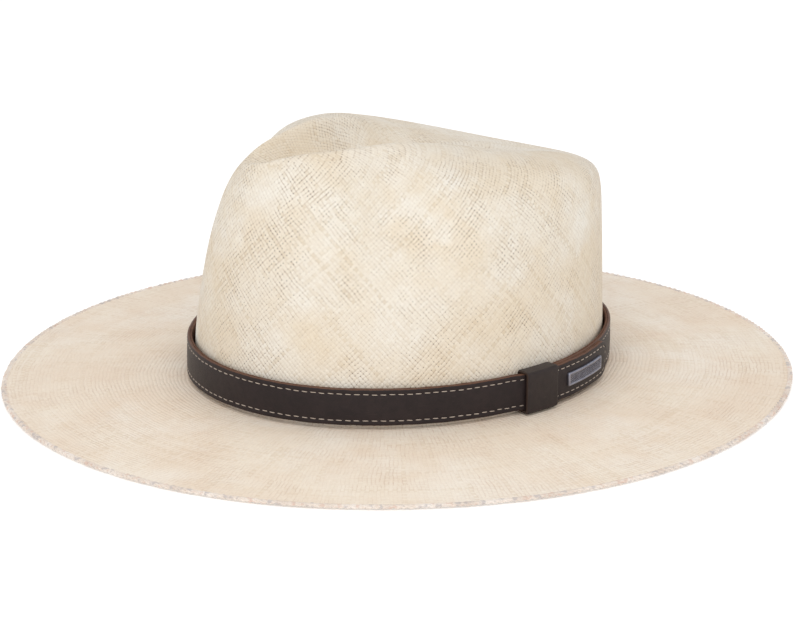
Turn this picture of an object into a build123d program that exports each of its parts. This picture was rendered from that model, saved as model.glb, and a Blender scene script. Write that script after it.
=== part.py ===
from build123d import *
import math
import os

import numpy as np

os.makedirs("parts", exist_ok=True)

# A woven-straw panama hat with a teardrop crown, a wide flat brim and a leather band.
# Front is -Y, the wearer's left is +X, up is +Z, and z = 0 is the underside of the brim's edge.

# ---------------------------------------------------------------- head oval at the crown's foot
CROWN_HALF_LENGTH = 103.4   # middle of the hat to the front or rear of the crown's foot
CROWN_HALF_WIDTH = 88.6     # middle of the hat to the side of the crown's foot
END_RADIUS = 78.0           # radius of the front and rear arcs of the oval

# ---------------------------------------------------------------- straw
STRAW_THICKNESS = 1.2
BRIM_WIDTH = 89.2           # crown foot to the straw's edge
BRIM_DROP = 5.6             # fall of the brim from the crown's foot to the edge
BRIM_CURL = 1.15            # above 1 the brim falls more towards its edge
BRIM_SPARE = 20.0           # extra surface past the edge, trimmed off
BREAK_RADIUS = 1.0          # turn from brim to crown
CROWN_HEIGHT = 124.1        # crown foot to the highest point of the crest
PLAIT_WIDTH = 2.8
PLAIT_HEIGHT = 2.6
PLAIT_ROUNDING = 0.9

# Crest line, seen from the top: angle round from the front towards the wearer's left,
# distance from the middle, and drop below the highest point.
CREST_LINE = [
    (-157, 66, 29.8), (-128, 48, 20.6), (-90, 34, 8.7), (-65, 35.5, 5.2), (-43, 43, 3.4), (-36, 49, 4.4),
    (-30, 57, 6.4), (-25, 67, 9.4), (-20, 78, 14.5), (-10, 85, 11.5), (0, 84, 6.9), (8, 76, 2.6), (17, 66, 0.6), (43, 42, 0.4), (66, 36, 2.4), (90, 34, 5.6), (128, 48, 13.8), (150, 62, 21), (180, 76, 30.4),
]
# Floor of the dent along the middle: distance behind the middle of the hat, and drop below the top.
DENT_FLOOR = [
    (-83, 9.5), (-74, 15.5), (-64, 22), (-50, 30.0), (-30, 34.0),
    (-10, 33.6), (10, 31), (30, 27.6), (50, 25.8), (76, 30.4),
]
DENT_STEEPNESS = 2.2        # how late the dent's sides rise from its floor
DENT_CORE = 45.0            # spread of the surface's inner lines about the middle
# Height fractions up the wall, and how far in from the foot to the crest it has come:
# at the front, beside it, at the front pinches, behind them, at the sides, the quarters and the rear.
WALL_HEIGHTS = [0.17, 0.35, 0.52, 0.66, 0.77, 0.86, 0.93, 0.98]
WALL_ANGLES = [0, 22, 43, 66, 90, 135, 180]
WALL_FRONT = [0.0, 0.04, 0.12, 0.24, 0.38, 0.54, 0.71, 0.88]
WALL_PROW = [0.0, 0.04, 0.12, 0.23, 0.37, 0.52, 0.69, 0.87]
WALL_PINCH = [0.0, 0.065, 0.185, 0.33, 0.49, 0.645, 0.79, 0.91]
WALL_LOBE = [0.0, 0.03, 0.07, 0.15, 0.24, 0.37, 0.54, 0.79]
WALL_SIDE = [0.0, 0.015, 0.04, 0.08, 0.14, 0.24, 0.40, 0.66]
WALL_QUARTER = [0.0, 0.015, 0.03, 0.04, 0.055, 0.08, 0.15, 0.50]
WALL_REAR = [0.0, 0.01, 0.025, 0.04, 0.06, 0.09, 0.17, 0.50]
DENT_STEPS = [0.0, 0.12, 0.25, 0.38, 0.52, 0.66, 0.79, 0.90]
RING_POINTS = 64            # points round each of the straw's section lines

# ---------------------------------------------------------------- leather band
KEEPER_BACK = 0.9
KEEPER_FRONT = 1.5
KEEPER_WALL = 1.1           # above and below the strap
KEEPER_LENGTH = 20.0
KEEPER_CLEAR = 0.2          # keeper to crown and to the strap's back
KEEPER_CLEAR_FRONT = 0.45   # keeper to the strap's face, over the stitching
KEEPER_CLEAR_EDGE = 0.25    # keeper to the strap's edges
STRAP_FACE = 1.3
STRAP_BACKING = 1.1
STRAP_HEIGHT = 17.6
STRAP_ABOVE_BRIM = 2.0
LAP_GAP = 0.1               # between the strap's two ends where they lap
KEEPER_ANGLE = 2.6          # keeper's middle, from the wearer's left towards the rear
RAMP_START = -6.0           # the outer end climbs over the inner end between these angles
RAMP_END = 1.5
INNER_END = 2.2             # inner end of the strap, inside the keeper
TONGUE_TIP = 32.0           # outer end of the strap
TONGUE_CORNER = 7.2
STITCH_INSET = 2.4          # thread line to the strap's edge
THREAD_WIDTH = 0.6
THREAD_HEIGHT = 0.25
PLAQUE_LENGTH = 32.0
PLAQUE_HEIGHT = 6.6
PLAQUE_THICKNESS = 1.2
PLAQUE_ANGLE = 19.3
PLAQUE_CORNER = 0.8
PRONG_DIAMETER = 1.4
PRONG_SPACING = 20.0
PRONG_CLEAR = 0.05
CLINCH_THICKNESS = 0.35
CLINCH_DIAMETER = 3.4
CLINCH_SINK = 0.45          # recess for the clinched end in the backing

# ---------------------------------------------------------------- sweatband
SWEATBAND_THICKNESS = 0.9
SWEATBAND_HEIGHT = 31.0
SWEATBAND_GAP = 0.45        # straw to sweatband at its foot
SWEATBAND_LEAN = 2.2        # how far in its top edge leans
REED_DIAMETER = 1.5
TAPE_THICKNESS = 0.3
TAPE_FLAP = 5.0             # tape up the sweatband's back
FOOT_STITCH_UP = 3.0        # thread line above the sweatband's foot
BOW_UP = 19.0               # middle of the bow above the sweatband's foot
BOW_LOOP_LENGTH = 11.0
BOW_LOOP_HEIGHT = 7.5
BOW_RIBBON = 0.5
BOW_DEPTH = 2.6
BOW_KNOT_WIDTH = 4.0
BOW_KNOT_HEIGHT = 6.0
BOW_GAP = 0.15
TAG_WIDTH = 16.0
TAG_HEIGHT = 12.0
TAG_THICKNESS = 0.4
TAG_ANGLE = 150.0

# ---------------------------------------------------------------- sizes that follow
SIDE_RADIUS = ((CROWN_HALF_LENGTH - END_RADIUS) ** 2 + CROWN_HALF_WIDTH ** 2 - END_RADIUS ** 2) / (
    2 * (CROWN_HALF_WIDTH - END_RADIUS)
)
END_CENTRE = CROWN_HALF_LENGTH - END_RADIUS
SIDE_CENTRE = SIDE_RADIUS - CROWN_HALF_WIDTH
END_HALF_ANGLE = math.atan2(SIDE_CENTRE, END_CENTRE)
EDGE_TOP = PLAIT_HEIGHT / 2 + STRAW_THICKNESS / 2
FOOT_TOP = EDGE_TOP + BRIM_DROP
CREST_TOP = FOOT_TOP + CROWN_HEIGHT
STRAP_BOTTOM = FOOT_TOP + STRAP_ABOVE_BRIM
STRAP_MIDDLE = STRAP_BOTTOM + STRAP_HEIGHT / 2
KEEPER_IN = KEEPER_CLEAR
STRAP_IN = KEEPER_IN + KEEPER_BACK + KEEPER_CLEAR
STRAP_SEAM = STRAP_IN + STRAP_BACKING
STRAP_OUT = STRAP_SEAM + STRAP_FACE
LAP = STRAP_OUT - STRAP_IN + LAP_GAP
KEEPER_OPENING_OUT = STRAP_OUT + LAP + KEEPER_CLEAR_FRONT
KEEPER_OUT = KEEPER_OPENING_OUT + KEEPER_FRONT
SWEATBAND_FOOT = FOOT_TOP - STRAW_THICKNESS + REED_DIAMETER / 2 + TAPE_THICKNESS
SWEATBAND_OUT = -STRAW_THICKNESS - SWEATBAND_GAP - TAPE_THICKNESS
SWEATBAND_IN = SWEATBAND_OUT - SWEATBAND_THICKNESS


def smooth_curve(stations, values, period=None):
    """Cubic curve through (station, value) pairs, closed on itself when a period is given."""
    x = np.array(stations, dtype=float)
    y = np.array(values, dtype=float)
    if period:
        x = np.append(x, x[0] + period)
        y = np.append(y, y[0])
    n = len(x)
    step = np.diff(x)
    rise = np.diff(y) / step
    system = np.zeros((n, n))
    right = np.zeros(n)
    for i in range(1, n - 1):
        system[i, i - 1 : i + 2] = [step[i - 1], 2 * (step[i - 1] + step[i]), step[i]]
        right[i] = 6 * (rise[i] - rise[i - 1])
    if period:
        system[0, 0] = 2 * (step[0] + step[-1])
        system[0, 1] = step[0]
        system[0, n - 2] = step[-1]
        right[0] = 6 * (rise[0] - rise[-1])
        system[n - 1, 0] = 1
        system[n - 1, n - 1] = -1
    else:
        system[0, 0] = 1
        system[n - 1, n - 1] = 1
    bend = np.linalg.solve(system, right)

    def value(at):
        at = np.asarray(at, dtype=float)
        if period:
            at = np.mod(at - x[0], period) + x[0]
        k = np.clip(np.searchsorted(x, at, side="right") - 1, 0, n - 2)
        a = x[k + 1] - at
        b = at - x[k]
        h = step[k]
        return (
            bend[k] * a ** 3 / (6 * h)
            + bend[k + 1] * b ** 3 / (6 * h)
            + (y[k] / h - bend[k] * h / 6) * a
            + (y[k + 1] / h - bend[k + 1] * h / 6) * b
        )

    return value


def oval_point(normal_angle, offset=0.0):
    """Point of the head oval moved out by offset, where its outward normal has this angle."""
    turned = np.abs(np.mod(normal_angle + math.pi, 2 * math.pi) - math.pi)
    side = np.sign(np.sin(normal_angle))
    at_end = (turned <= END_HALF_ANGLE) | (turned >= math.pi - END_HALF_ANGLE)
    centre_x = np.where(at_end, 0.0, -side * SIDE_CENTRE)
    centre_y = np.where(at_end, np.where(turned < math.pi / 2, -END_CENTRE, END_CENTRE), 0.0)
    radius = np.where(at_end, END_RADIUS, SIDE_RADIUS) + offset
    return centre_x + np.sin(normal_angle) * radius, centre_y - np.cos(normal_angle) * radius


normal_table = np.linspace(0, math.pi, 3601)
foot_x, foot_y = oval_point(normal_table)
polar_table = np.arctan2(foot_x, -foot_y)
crest_angles = np.radians([row[0] for row in CREST_LINE])
crest_radius = smooth_curve(crest_angles, [row[1] for row in CREST_LINE], 2 * math.pi)
crest_drop = smooth_curve(crest_angles, [row[2] for row in CREST_LINE], 2 * math.pi)
floor_drop = smooth_curve([row[0] for row in DENT_FLOOR], [row[1] for row in DENT_FLOOR])
mirrored_angles = [-a for a in WALL_ANGLES[-2:0:-1]] + WALL_ANGLES
wall_curves = []
for row in zip(WALL_FRONT, WALL_PROW, WALL_PINCH, WALL_LOBE, WALL_SIDE, WALL_QUARTER, WALL_REAR):
    mirrored = list(row[-2:0:-1]) + list(row)
    wall_curves.append(smooth_curve(np.radians(mirrored_angles), mirrored, 2 * math.pi))

half_turn = np.linspace(0, math.pi, 721)
crest_tables = {}
for side in (1, -1):
    reach = crest_radius(side * half_turn)
    crest_tables[side] = (-np.cos(half_turn) * reach, np.sin(half_turn) * reach, crest_drop(side * half_turn))


def dent_height(x, y):
    """Height of the top inside the crest line."""
    along = np.clip(y, DENT_FLOOR[0][0], DENT_FLOOR[-1][0])
    floor = floor_drop(along)
    half_width = np.where(
        x >= 0, np.interp(y, crest_tables[1][0], crest_tables[1][1]), np.interp(y, crest_tables[-1][0], crest_tables[-1][1])
    )
    rim = np.where(
        x >= 0, np.interp(y, crest_tables[1][0], crest_tables[1][2]), np.interp(y, crest_tables[-1][0], crest_tables[-1][2])
    )
    across = np.clip(np.abs(x) / np.maximum(half_width, 0.001), 0, 1)
    return CREST_TOP - floor + (floor - rim) * across ** DENT_STEEPNESS


def brim_height(out):
    """Top of the brim at a distance out from the crown's foot."""
    return FOOT_TOP - BRIM_DROP * (out / BRIM_WIDTH) ** BRIM_CURL


def straw_lines(angle):
    """Control points of the straw's outer profile at these angles, from the middle outwards."""
    turned = np.mod(angle + math.pi, 2 * math.pi) - math.pi
    normal = np.sign(turned) * np.interp(np.abs(turned), polar_table, normal_table)
    foot = np.hypot(*oval_point(normal))
    reach = crest_radius(angle)
    height = CREST_TOP - crest_drop(angle)
    dir_x = np.sin(angle)
    dir_y = -np.cos(angle)
    lines = []
    for share in DENT_STEPS:
        r = share * (DENT_CORE * (1 - share) + reach * share)
        lines.append((dir_x * r, dir_y * r, dent_height(dir_x * r, dir_y * r)))
    lines.append((dir_x * reach, dir_y * reach, height))
    for share, curve in reversed(list(zip(WALL_HEIGHTS, wall_curves))):
        r = foot - (foot - reach) * curve(angle)
        lines.append((dir_x * r, dir_y * r, FOOT_TOP + (height - FOOT_TOP) * share))
    level = np.ones_like(angle)
    for out, up in ((0.0, 5.0), (0.0, 2.0), (0.0, 1.0), (0.1, 0.25)):
        x, y = oval_point(normal, out * BREAK_RADIUS)
        lines.append((x, y, (FOOT_TOP + up * BREAK_RADIUS) * level))
    for out in (1.0, 3.0, 8.0):
        x, y = oval_point(normal, out * BREAK_RADIUS)
        lines.append((x, y, brim_height(out * BREAK_RADIUS) * level))
    rings = 7
    for k in range(1, rings + 1):
        out = 8.0 * BREAK_RADIUS + (BRIM_WIDTH - 8.0 * BREAK_RADIUS) * k / rings
        x, y = oval_point(normal, out)
        lines.append((x, y, brim_height(out) * level))
    for out in (BRIM_WIDTH + BRIM_SPARE / 2, BRIM_WIDTH + BRIM_SPARE):
        x, y = oval_point(normal, out)
        lines.append((x, y, brim_height(out) * level))
    return np.array([np.stack(line, -1) for line in lines])


def straw_point(angle, share):
    """Points of the straw's outer surface: angle from the front, share 0 in the middle, 1 outside."""
    lines = straw_lines(angle)
    lines = np.concatenate([[2 * lines[0] - lines[1]], lines, [2 * lines[-1] - lines[-2]]])
    spans = len(lines) - 3
    at = np.clip(share * spans, 0, spans - 1e-9)
    k = at.astype(int)
    f = (at - k)[:, None]
    pick = np.arange(len(angle))
    return (
        (1 - f) ** 3 * lines[k, pick]
        + (3 * f ** 3 - 6 * f ** 2 + 4) * lines[k + 1, pick]
        + (1 + 3 * f + 3 * f ** 2 - 3 * f ** 3) * lines[k + 2, pick]
        + f ** 3 * lines[k + 3, pick]
    ) / 6


# Section lines of the straw, as shares from the middle to the spare edge: they follow the
# profile's control points, with extra ones where the brim breaks into the crown.
PROFILE_SPANS = len(DENT_STEPS) + 1 + len(WALL_HEIGHTS) + 4 + 3 + 7 + 2 - 1
BREAK_SPAN = len(DENT_STEPS) + len(WALL_HEIGHTS) + 1
RING_SHARES = [k / PROFILE_SPANS for k in range(1, BREAK_SPAN)]
RING_SHARES += [(BREAK_SPAN + k / 2) / PROFILE_SPANS for k in range(0, 14)]
RING_SHARES += [k / PROFILE_SPANS for k in range(BREAK_SPAN + 7, PROFILE_SPANS + 1)]


def straw_ring(share, depth):
    """Closed line round the hat on the straw's outer face, moved in from it by depth."""
    angle = np.linspace(0, 2 * math.pi, RING_POINTS, endpoint=False)
    share = np.full(RING_POINTS, float(share))
    points = straw_point(angle, share)
    tiny = 0.0005
    around = straw_point(angle + tiny, share) - straw_point(angle - tiny, share)
    outward = straw_point(angle, share + tiny) - straw_point(angle, share - tiny)
    normal = np.cross(outward, around)
    normal /= np.linalg.norm(normal, axis=1, keepdims=True)
    if share[0] == RING_SHARES[-1]:
        normal = np.array([[0.0, 0.0, 1.0]])
    return points - depth * normal


def straw_skin(depth):
    """Solid under the straw's surface, which is moved in from its outer face by depth."""
    top = Vertex(0, 0, float(straw_point(np.zeros(1), np.zeros(1))[0][2]) - depth)
    marks = [k / RING_POINTS for k in range(RING_POINTS + 1)]
    rings = []
    for share in RING_SHARES:
        points = [Vector(*p) for p in straw_ring(share, depth)]
        rings.append(Wire([Edge.make_spline(points, periodic=True, parameters=marks)]))
    return Solid.make_loft([top] + rings)


def oval_edges(offset):
    """The four arcs of the head oval, moved out by offset."""
    end = math.degrees(END_HALF_ANGLE)
    side = 90 - end
    return [
        CenterArc((0, -END_CENTRE), END_RADIUS + offset, -90 - end, 2 * end),
        CenterArc((-SIDE_CENTRE, 0), SIDE_RADIUS + offset, -side, 2 * side),
        CenterArc((0, END_CENTRE), END_RADIUS + offset, 90 - end, 2 * end),
        CenterArc((SIDE_CENTRE, 0), SIDE_RADIUS + offset, 180 - side, 2 * side),
    ]


def oval_plate(offset, bottom, top):
    """Solid oval slab between two heights."""
    return extrude(Pos(0, 0, bottom) * make_face(oval_edges(offset)), top - bottom)


def oval_ring(inside, outside, bottom, top):
    """Oval ring between two offsets and two heights."""
    return oval_plate(outside, bottom, top) - oval_plate(inside, bottom - 1, top + 1)


def side_point(angle, offset):
    """Point on the wearer's-left side arc, at an angle from the side towards the rear."""
    a = math.radians(angle)
    r = SIDE_RADIUS + offset
    return (-SIDE_CENTRE + r * math.cos(a), r * math.sin(a))


def side_arc(offset, start, end):
    """Arc along the wearer's-left side."""
    return CenterArc((-SIDE_CENTRE, 0), SIDE_RADIUS + offset, start, end - start)


def side_sector(inside, outside, start, end, bottom, top):
    """Curved bar along the wearer's-left side."""
    edges = [
        side_arc(inside, start, end),
        Line(side_point(end, inside), side_point(end, outside)),
        side_arc(outside, start, end),
        Line(side_point(start, outside), side_point(start, inside)),
    ]
    return extrude(Pos(0, 0, bottom) * make_face(edges), top - bottom)


def side_plane(angle, offset, height):
    """Plane that touches the side arc at an angle, facing out, with its y axis up."""
    a = math.radians(angle)
    x, y = side_point(angle, offset)
    return Plane(origin=(x, y, height), x_dir=(-math.sin(a), math.cos(a), 0), z_dir=(math.cos(a), math.sin(a), 0))


def ramp_edge(offset):
    """Line of the strap's outer end as it climbs over the inner end."""
    points = []
    steps = 8
    for k in range(steps + 1):
        share = k / steps
        rise = share ** 3 * (10 - 15 * share + 6 * share ** 2)
        angle = RAMP_START + (RAMP_END - RAMP_START) * share
        points.append(side_point(angle, offset + LAP * rise))
    a = math.radians(RAMP_START)
    b = math.radians(RAMP_END)
    return Spline(*points, tangents=[(-math.sin(a), math.cos(a)), (-math.sin(b), math.cos(b))])


def strap_layer(inside, outside):
    """One layer of the strap: once round the crown, up the ramp and along the tongue."""
    top = STRAP_BOTTOM + STRAP_HEIGHT
    ring = oval_ring(inside, outside, STRAP_BOTTOM, top)
    gap = side_sector(inside - 1, outside + 1, RAMP_START, INNER_END, STRAP_BOTTOM - 1, top + 1)
    edges = [
        ramp_edge(inside),
        Line(side_point(RAMP_END, inside + LAP), side_point(RAMP_END, outside + LAP)),
        ramp_edge(outside),
        Line(side_point(RAMP_START, outside), side_point(RAMP_START, inside)),
    ]
    ramp = extrude(Pos(0, 0, STRAP_BOTTOM) * make_face(edges), STRAP_HEIGHT)
    tongue = side_sector(inside + LAP, outside + LAP, RAMP_END, TONGUE_TIP, STRAP_BOTTOM, top)
    tongue = tongue & tongue_prism(0.0)
    return (ring - gap) + ramp + tongue


def tongue_prism(inset):
    """Prism of the tongue's outline, seen from outside, with its two end corners rounded."""
    reach = 90.0
    corner = TONGUE_CORNER - inset
    run = (SIDE_RADIUS + STRAP_OUT + LAP) * math.radians(5.0)
    plane = side_plane(TONGUE_TIP - 5.0, STRAP_OUT + LAP, STRAP_MIDDLE)
    shape = Pos(run - inset - reach / 2, 0) * Rectangle(reach, STRAP_HEIGHT - 2 * inset)
    shape = fillet(shape.vertices().sort_by(Axis.X)[-2:], corner)
    return extrude(plane * shape, 22, both=True)


# ---------------------------------------------------------------- straw body and edge
blank = oval_plate(BRIM_WIDTH, -20, CREST_TOP + 30)
straw_body = (straw_skin(0.0) & blank) - straw_skin(STRAW_THICKNESS)

plait_ring = oval_ring(BRIM_WIDTH, BRIM_WIDTH + PLAIT_WIDTH, 0, PLAIT_HEIGHT)
outer_rims = [e for e in plait_ring.edges() if abs(e.center().Z) < 0.01 or abs(e.center().Z - PLAIT_HEIGHT) < 0.01]
outer_rims = [e for e in outer_rims if any(abs(e.length - a.length) < 0.01 for a in oval_edges(BRIM_WIDTH + PLAIT_WIDTH))]
brim_edge_plait = fillet(outer_rims, PLAIT_ROUNDING)

# ---------------------------------------------------------------- leather band
strap_face = strap_layer(STRAP_SEAM, STRAP_OUT)
strap_backing = strap_layer(STRAP_IN, STRAP_SEAM)

keeper_half = math.degrees(KEEPER_LENGTH / 2 / (SIDE_RADIUS + KEEPER_OUT))
keeper_bottom = STRAP_BOTTOM - KEEPER_CLEAR_EDGE - KEEPER_WALL
keeper_top = STRAP_BOTTOM + STRAP_HEIGHT + KEEPER_CLEAR_EDGE + KEEPER_WALL
keeper = side_sector(
    KEEPER_IN, KEEPER_OUT, KEEPER_ANGLE - keeper_half, KEEPER_ANGLE + keeper_half, keeper_bottom, keeper_top
)
keeper -= side_sector(
    STRAP_IN - KEEPER_CLEAR, KEEPER_OPENING_OUT, KEEPER_ANGLE - keeper_half - 1, KEEPER_ANGLE + keeper_half + 1,
    keeper_bottom + KEEPER_WALL, keeper_top - KEEPER_WALL,
)

line_low = STRAP_BOTTOM + STITCH_INSET - THREAD_WIDTH / 2
line_high = STRAP_BOTTOM + STRAP_HEIGHT - STITCH_INSET - THREAD_WIDTH / 2
threads = []
for height in (line_high, line_low):
    thread = oval_ring(STRAP_OUT, STRAP_OUT + THREAD_HEIGHT, height, height + THREAD_WIDTH)
    hidden = side_sector(STRAP_OUT - 1, STRAP_OUT + 2, RAMP_START, TONGUE_TIP + 1.5, height - 1, height + 2)
    threads.append(thread - hidden)

tongue_skin = side_sector(
    STRAP_OUT + LAP, STRAP_OUT + LAP + THREAD_HEIGHT, RAMP_END, TONGUE_TIP, STRAP_BOTTOM, STRAP_BOTTOM + STRAP_HEIGHT
)
tongue_thread = tongue_skin & tongue_prism(STITCH_INSET - THREAD_WIDTH / 2)
tongue_thread -= tongue_prism(STITCH_INSET + THREAD_WIDTH / 2)

plaque_plane = side_plane(PLAQUE_ANGLE, STRAP_OUT + LAP, STRAP_MIDDLE)
plaque_shape = RectangleRounded(PLAQUE_LENGTH, PLAQUE_HEIGHT, PLAQUE_CORNER)
plaque_skin = side_sector(
    STRAP_OUT + LAP, STRAP_OUT + LAP + PLAQUE_THICKNESS, PLAQUE_ANGLE - 12, PLAQUE_ANGLE + 12,
    STRAP_BOTTOM, STRAP_BOTTOM + STRAP_HEIGHT,
)
plaque = plaque_skin & extrude(plaque_plane * plaque_shape, 10, both=True)

prongs = []
for side in (-1, 1):
    angle = PLAQUE_ANGLE + side * math.degrees(PRONG_SPACING / 2 / (SIDE_RADIUS + STRAP_OUT + LAP))
    plane = side_plane(angle, STRAP_IN + LAP, STRAP_MIDDLE)
    depth = STRAP_OUT - STRAP_IN
    post = extrude(plane * Circle(PRONG_DIAMETER / 2), depth)
    clinch_base = CLINCH_SINK - CLINCH_THICKNESS
    clinch = extrude(plane * Circle(CLINCH_DIAMETER / 2), CLINCH_SINK)
    clinch -= extrude(plane * Circle(CLINCH_DIAMETER), clinch_base)
    post -= extrude(plane * Circle(CLINCH_DIAMETER), clinch_base)
    prongs.append(post + clinch)
    hole = extrude(plane * Circle(PRONG_DIAMETER / 2 + PRONG_CLEAR), depth + 1)
    recess = extrude(plane * Circle(CLINCH_DIAMETER / 2 + PRONG_CLEAR), CLINCH_SINK + PRONG_CLEAR)
    recess += extrude(plane * Circle(CLINCH_DIAMETER / 2 + PRONG_CLEAR), -LAP_GAP * 0.5)
    strap_face -= hole
    strap_backing -= hole + recess
plaque_prongs = Compound(prongs)

# ---------------------------------------------------------------- sweatband
def leaning_wall(outer, inner, foot, height, lean):
    """Oval wall whose top edge leans in."""
    solids = []
    for offset in (outer, inner):
        low = Pos(0, 0, foot) * make_face(oval_edges(offset))
        high = Pos(0, 0, foot + height) * make_face(oval_edges(offset - lean))
        solids.append(loft([low, high], ruled=True))
    return solids[0] - solids[1]


def lean_at(up):
    return SWEATBAND_LEAN * up / SWEATBAND_HEIGHT


sweatband = leaning_wall(SWEATBAND_OUT, SWEATBAND_IN, SWEATBAND_FOOT, SWEATBAND_HEIGHT, SWEATBAND_LEAN)
reed_offset = (SWEATBAND_OUT + SWEATBAND_IN) / 2
reed_centre = SWEATBAND_FOOT - REED_DIAMETER / 2 - TAPE_THICKNESS


def round_ring(offset, height, radius):
    """Round cord along the head oval."""
    parts = []
    for edge in oval_edges(offset):
        path = Pos(0, 0, height) * edge
        start = path @ 0
        section = Plane(origin=start, z_dir=path % 0) * Circle(radius)
        parts.append(sweep(section, path=path))
    whole = parts[0]
    for piece in parts[1:]:
        whole += piece
    return whole


sweatband_reed = round_ring(reed_offset, reed_centre, REED_DIAMETER / 2)
reed_tape = round_ring(reed_offset, reed_centre, REED_DIAMETER / 2 + TAPE_THICKNESS) - sweatband_reed
tape_flap = leaning_wall(SWEATBAND_OUT + TAPE_THICKNESS, SWEATBAND_OUT, SWEATBAND_FOOT, TAPE_FLAP, lean_at(TAPE_FLAP))
tape_neck = oval_ring(SWEATBAND_OUT - 0.2, SWEATBAND_OUT + TAPE_THICKNESS, reed_centre, SWEATBAND_FOOT)
tape_neck -= round_ring(reed_offset, reed_centre, REED_DIAMETER / 2 + TAPE_THICKNESS / 2)
reed_tape = reed_tape + tape_neck + tape_flap

stitch_lean = lean_at(FOOT_STITCH_UP)
foot_thread = leaning_wall(
    SWEATBAND_IN - stitch_lean, SWEATBAND_IN - stitch_lean - THREAD_HEIGHT,
    SWEATBAND_FOOT + FOOT_STITCH_UP, THREAD_WIDTH, lean_at(THREAD_WIDTH),
)

bow_foot = SWEATBAND_FOOT + BOW_UP
bow_back = CROWN_HALF_LENGTH + SWEATBAND_IN - lean_at(BOW_UP + BOW_LOOP_HEIGHT) - BOW_GAP
bow_sag = END_CENTRE + END_RADIUS + SWEATBAND_IN
loops = []
for side in (-1, 1):
    reach = BOW_KNOT_WIDTH / 2 + BOW_LOOP_LENGTH
    drop = END_RADIUS - math.sqrt(END_RADIUS ** 2 - reach ** 2)
    near = (side * BOW_KNOT_WIDTH / 2, bow_back - BOW_DEPTH / 2 - 0.3)
    far = (side * reach, bow_back - drop - BOW_DEPTH / 2)
    run = Vector(far[0] - near[0], far[1] - near[1])
    turn = math.degrees(math.atan2(run.Y, run.X))
    middle = ((near[0] + far[0]) / 2, (near[1] + far[1]) / 2)
    outside = SlotOverall(run.length, BOW_DEPTH)
    inside = SlotOverall(run.length - 2 * BOW_RIBBON, BOW_DEPTH - 2 * BOW_RIBBON)
    loop = extrude(outside - inside, BOW_LOOP_HEIGHT)
    loops.append(Pos(middle[0], middle[1], bow_foot - BOW_LOOP_HEIGHT / 2) * Rot(0, 0, turn) * loop)
bow_loops = Compound([s for loop in loops for s in loop.solids()])
knot = Pos(0, bow_back - BOW_DEPTH / 2 - 0.3, bow_foot) * Box(BOW_KNOT_WIDTH, BOW_DEPTH + 0.6, BOW_KNOT_HEIGHT)
bow_knot = fillet(knot.edges().filter_by(Axis.Z), 0.9)
for loop in loops:
    bow_knot -= loop

tag_radians = math.radians(TAG_ANGLE)
tag_x, tag_y = [float(c) for c in oval_point(tag_radians, SWEATBAND_IN - SWEATBAND_LEAN - 0.15)]
tag_shape = oval_ring(
    SWEATBAND_IN - SWEATBAND_LEAN - 0.1 - TAG_THICKNESS, SWEATBAND_IN - SWEATBAND_LEAN - 0.1,
    SWEATBAND_FOOT + SWEATBAND_HEIGHT - TAG_HEIGHT, SWEATBAND_FOOT + SWEATBAND_HEIGHT,
)
tag_plane = Plane(
    origin=(tag_x, tag_y, SWEATBAND_FOOT + SWEATBAND_HEIGHT - TAG_HEIGHT / 2),
    x_dir=(math.cos(tag_radians), math.sin(tag_radians), 0),
    z_dir=(math.sin(tag_radians), -math.cos(tag_radians), 0),
)
size_tag = tag_shape & extrude(tag_plane * RectangleRounded(TAG_WIDTH, TAG_HEIGHT, 1.5), 10, both=True)

nodes = {
    "straw_body": straw_body,
    "brim_edge_plait": brim_edge_plait,
    "sweatband": sweatband,
    "sweatband_reed": sweatband_reed,
    "reed_tape": reed_tape,
    "sweatband_stitching": foot_thread,
    "sweatband_bow_loops": bow_loops,
    "sweatband_bow_knot": bow_knot,
    "size_tag": size_tag,
    "band_strap_face": strap_face,
    "band_strap_backing": strap_backing,
    "band_upper_stitching": threads[0],
    "band_lower_stitching": threads[1],
    "tongue_stitching": tongue_thread,
    "keeper_loop": keeper,
    "plaque": plaque,
    "plaque_prongs": plaque_prongs,
}
for name, shape in nodes.items():
    export_step(shape, f"parts/{name}.step")
    print(name, len(shape.solids()), round(sum(s.volume for s in shape.solids()), 1))
print("keeper joint centre", -SIDE_CENTRE, 0, STRAP_MIDDLE, "keeper half angle", keeper_half)
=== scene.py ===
import bmesh
import bpy
import math
import numpy as np
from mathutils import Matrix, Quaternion, Vector


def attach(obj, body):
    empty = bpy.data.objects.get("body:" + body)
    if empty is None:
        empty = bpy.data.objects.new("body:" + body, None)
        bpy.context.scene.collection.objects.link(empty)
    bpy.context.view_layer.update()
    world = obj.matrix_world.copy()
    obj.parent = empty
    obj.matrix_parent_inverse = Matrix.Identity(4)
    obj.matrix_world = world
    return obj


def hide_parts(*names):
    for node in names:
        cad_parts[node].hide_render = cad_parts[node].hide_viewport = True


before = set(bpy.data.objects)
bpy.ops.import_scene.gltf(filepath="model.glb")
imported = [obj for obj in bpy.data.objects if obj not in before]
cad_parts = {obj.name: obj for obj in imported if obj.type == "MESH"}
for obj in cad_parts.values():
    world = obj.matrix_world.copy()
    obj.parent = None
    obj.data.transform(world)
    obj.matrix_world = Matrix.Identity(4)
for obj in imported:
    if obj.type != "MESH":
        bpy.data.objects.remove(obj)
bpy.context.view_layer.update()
MM = 0.001

# ------------------------------------------------------------------ sizes, as in the CAD model (millimetres)
A, B, RE = 103.4, 88.6, 78.0
STRAW, BRIM, DROP, CURL, SPARE = 1.2, 89.2, 5.6, 1.15, 20.0   # SPARE is extra surface, cut off at the edge
HEIGHT = 124.1
PLAIT_H = 2.6
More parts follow.
